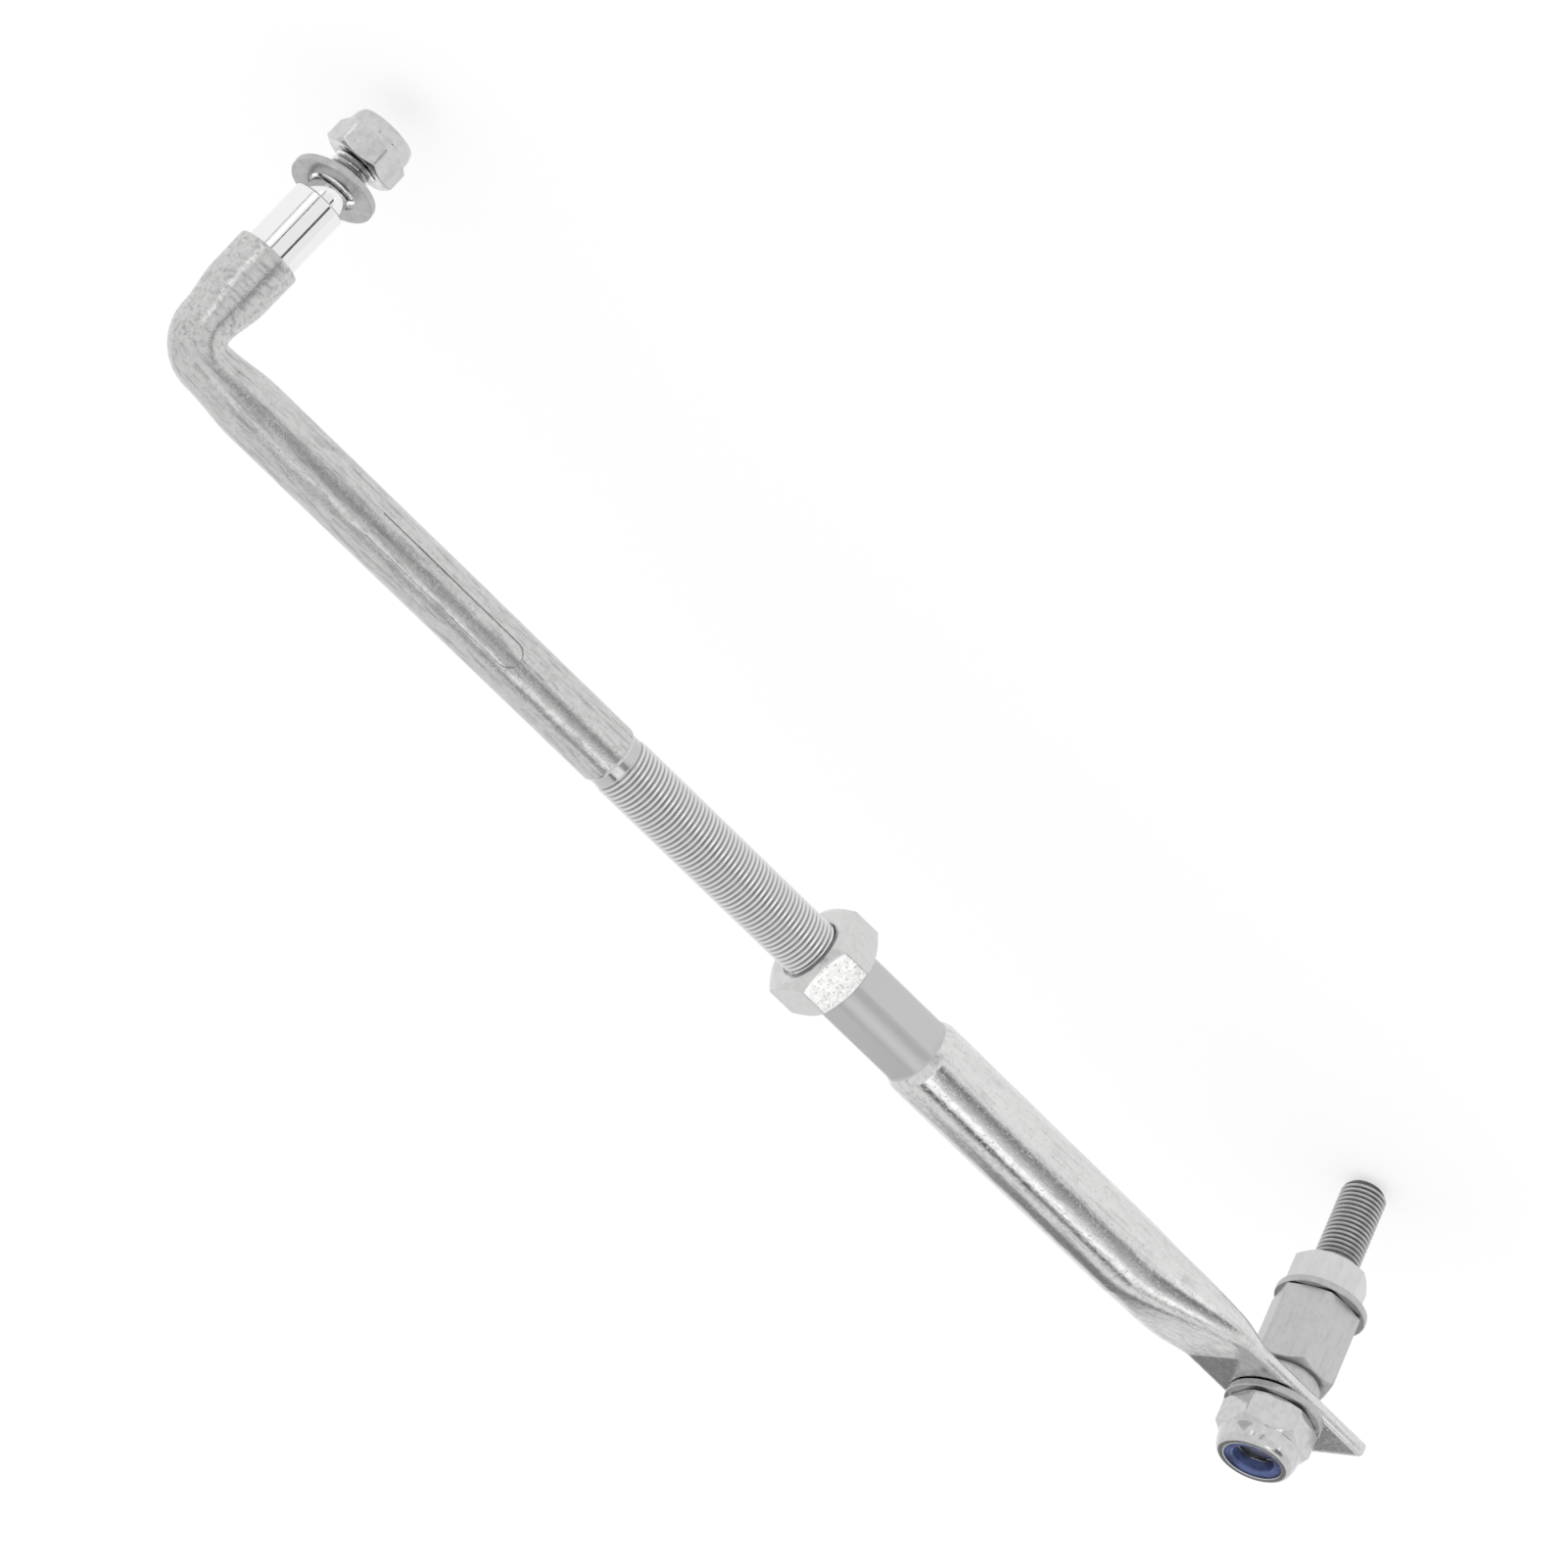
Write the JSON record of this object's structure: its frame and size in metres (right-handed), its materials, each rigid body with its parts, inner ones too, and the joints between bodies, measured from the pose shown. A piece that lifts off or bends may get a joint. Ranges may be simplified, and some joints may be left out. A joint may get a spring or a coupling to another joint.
{
  "type": "adjustable steering link arm",
  "caption": "Adjustable link with a threaded hook rod at one end and a flattened tube end with a pivot stud at the other, joining a steering cable to an outboard engine tiller arm.",
  "frame": {"origin": "on the pivot stud's axis, at the seat face of its hexagonal body", "axes": "the stud's threaded tip points along -Z; the link runs along -X from the stud to the hook rod"},
  "size_m": [0.3293, 0.0374, 0.0661],
  "materials": {
    "bar_steel": "tumbled stainless, satin",
    "tube_steel": "drawn stainless, semi-bright",
    "stud_steel": "machined stainless, matte",
    "nut_steel": "polished stainless",
    "jam_nut_steel": "bright stainless",
    "plain_nut_steel": "satin stainless",
    "washer_steel": "stamped stainless, satin",
    "nylon_blue": "moulded nylon"
  },
  "bodies": {
    "stud": {"pivot_stud": "stud_steel", "pivot_washer": "washer_steel", "pivot_nut": "nut_steel", "pivot_nut_insert": "nylon_blue"},
    "tube": {"link_tube": "tube_steel"},
    "rod": {"hook_rod": "bar_steel"},
    "jam_nut": {"jam_nut": "jam_nut_steel"},
    "tiller_nut_set": {"tiller_nut": "plain_nut_steel", "tiller_washer": "washer_steel"},
    "hook_nut": {"hook_nut": "nut_steel", "hook_nut_insert": "nylon_blue"},
    "hook_washer": {"hook_washer": "washer_steel"}
  },
  "joints": [
    {"name": "stud_pivot", "type": "hinge", "parent": "stud", "child": "tube", "pos_m": [0, 0, 0.0224], "axis": [0, 0, 1], "continuous": true},
    {"name": "length_adjust", "type": "slide", "parent": "tube", "child": "rod", "axis": [-1, 0, 0], "range_m": [-0.0254, 0.0254]},
    {"name": "jam_nut_loosen", "type": "slide", "parent": "tube", "child": "jam_nut", "axis": [-1, 0, 0], "range_m": [0, 0.024]},
    {"name": "tiller_nut_off", "type": "slide", "parent": "stud", "child": "tiller_nut_set", "axis": [0, 0, -1], "range_m": [0, 0.05]},
    {"name": "hook_nut_off", "type": "slide", "parent": "rod", "child": "hook_nut", "axis": [0.0349, 0.4263, -0.9039], "range_m": [0, 0.035]},
    {"name": "hook_washer_play", "type": "slide", "parent": "hook_nut", "child": "hook_washer", "axis": [0.0349, 0.4263, -0.9039], "range_m": [-0.0007, 0.0023]}
  ]
}
